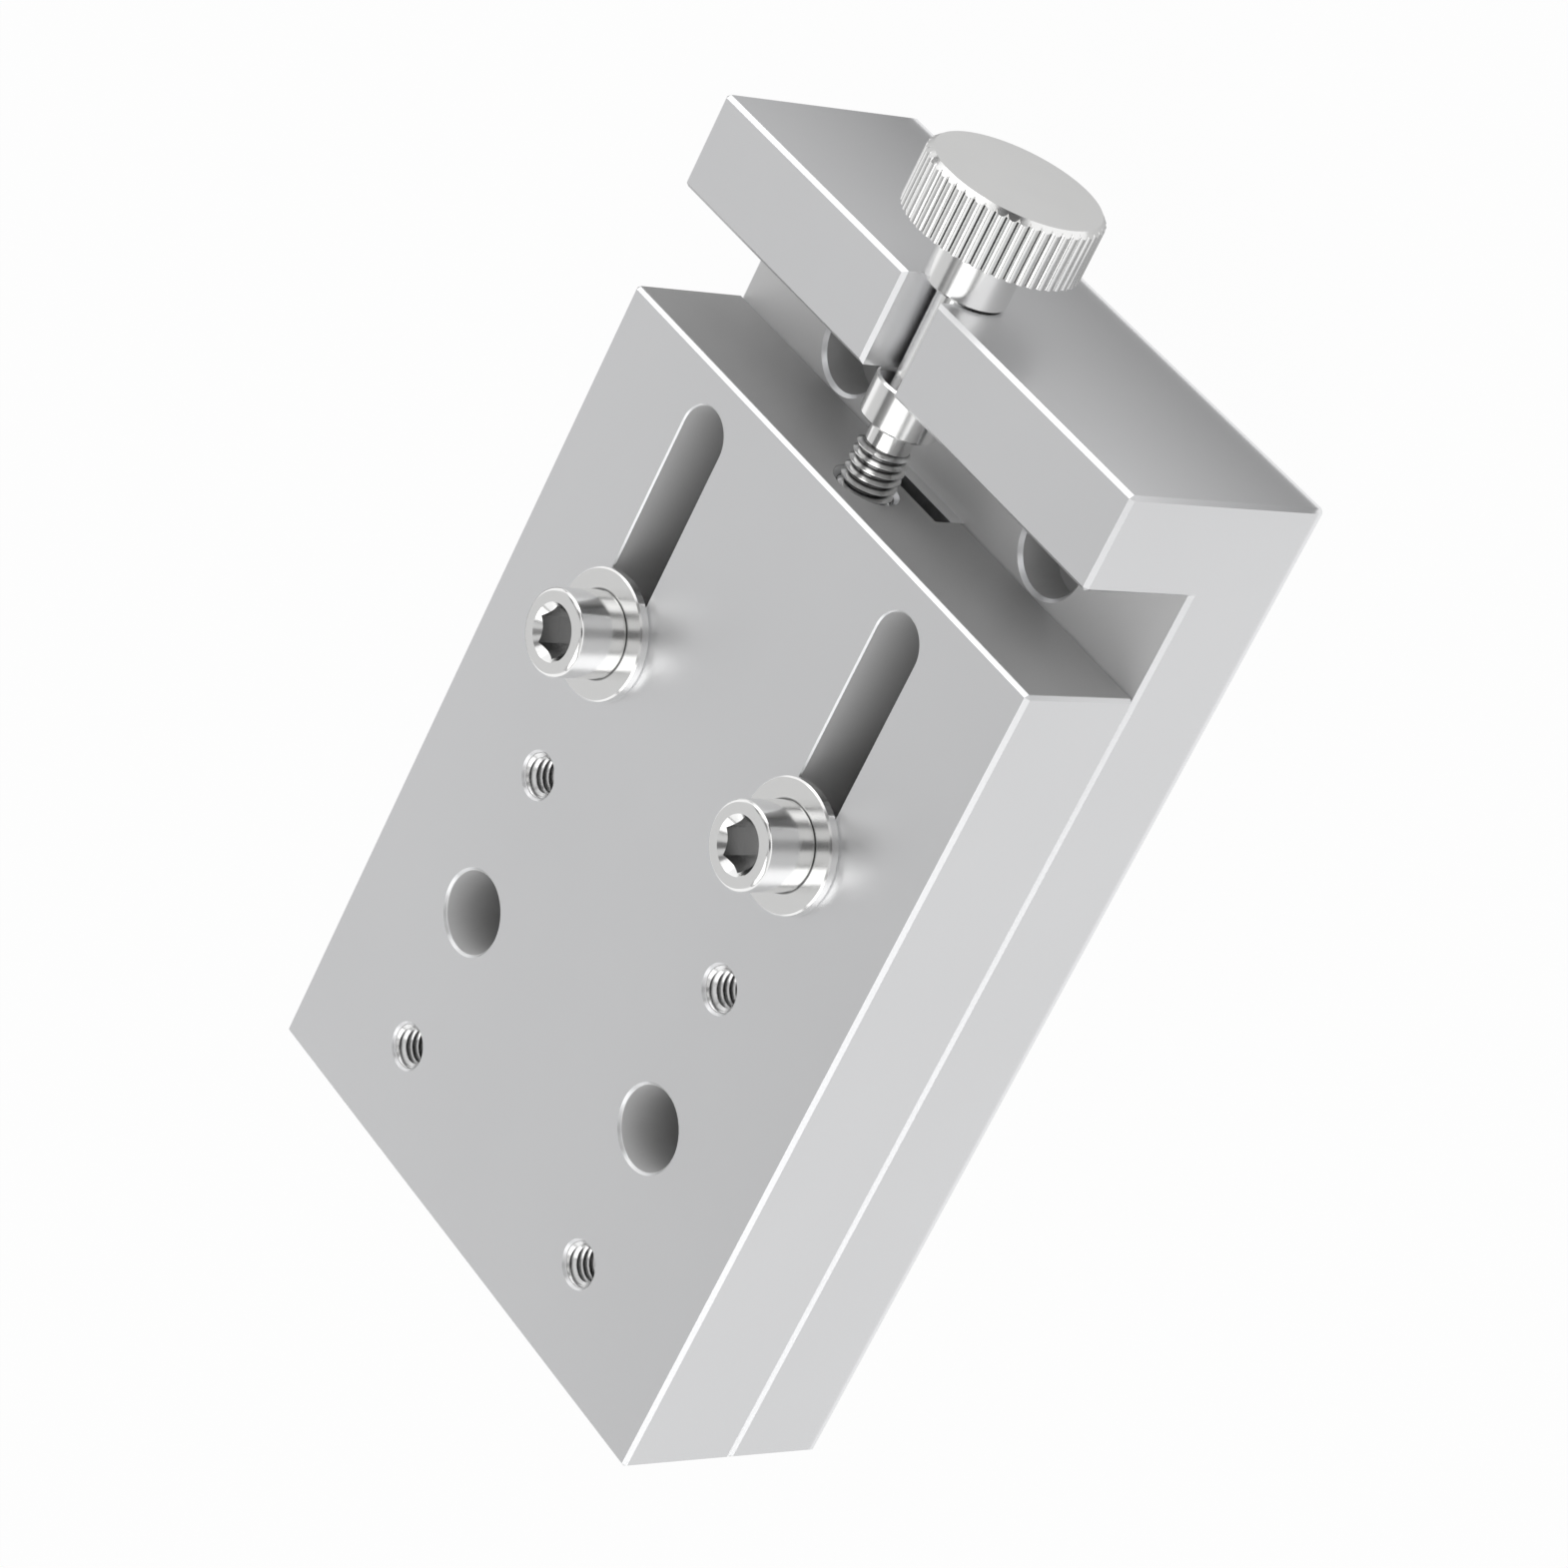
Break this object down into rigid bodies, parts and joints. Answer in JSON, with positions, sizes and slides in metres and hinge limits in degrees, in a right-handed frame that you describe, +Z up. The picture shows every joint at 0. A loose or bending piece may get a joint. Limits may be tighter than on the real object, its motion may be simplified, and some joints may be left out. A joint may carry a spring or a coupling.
{
  "type": "manual linear stage",
  "caption": "Flat manual linear stage: a slotted slide plate on a ribbed base with an end block, moved by a hand screw with a ribbed knob and locked by socket head clamp screws.",
  "frame": {"origin": "centre of the base's four mounting holes, on its underside", "axes": "+X along the travel towards the knob, +Y across the plate, +Z up out of the mounting face"},
  "size_m": [0.1105, 0.06, 0.028],
  "materials": {
    "satin_aluminium": "fine satin, clear anodised",
    "polished_steel": "polished stainless or nickel plated"
  },
  "bodies": {
    "base": {"base_plate": "satin_aluminium"},
    "slide": {"slide_plate": "satin_aluminium"},
    "hand_screw": {"adjusting_screw": "polished_steel", "adjusting_knob": "polished_steel"},
    "left_washer": {"washer_left": "polished_steel"},
    "left_clamp": {"clamp_screw_left": "polished_steel"},
    "right_washer": {"washer_right": "polished_steel"},
    "right_clamp": {"clamp_screw_right": "polished_steel"}
  },
  "joints": [
    {"name": "knob_turn", "type": "hinge", "parent": "base", "child": "hand_screw", "pos_m": [0, 0, 0.0173], "axis": [1, 0, 0], "range_deg": [0, 9000]},
    {"name": "slide_travel", "type": "slide", "parent": "base", "child": "slide", "axis": [1, 0, 0], "range_m": [-0.02, 0]},
    {"name": "left_clamp_lift", "type": "slide", "parent": "base", "child": "left_washer", "axis": [0, 0, 1], "range_m": [0, 0.0008]},
    {"name": "left_clamp_turn", "type": "hinge", "parent": "left_washer", "child": "left_clamp", "pos_m": [0, 0.015, 0.023], "axis": [0, 0, 1], "range_deg": [0, 360]},
    {"name": "right_clamp_lift", "type": "slide", "parent": "base", "child": "right_washer", "axis": [0, 0, 1], "range_m": [0, 0.0008]},
    {"name": "right_clamp_turn", "type": "hinge", "parent": "right_washer", "child": "right_clamp", "pos_m": [0, -0.015, 0.023], "axis": [0, 0, 1], "range_deg": [0, 360]}
  ],
  "couplings": [
    {"joint": "knob_turn", "follows": "slide_travel", "rad_per_m": -7854},
    {"joint": "left_clamp_turn", "follows": "left_clamp_lift", "rad_per_m": 7854},
    {"joint": "right_clamp_turn", "follows": "right_clamp_lift", "rad_per_m": 7854}
  ]
}
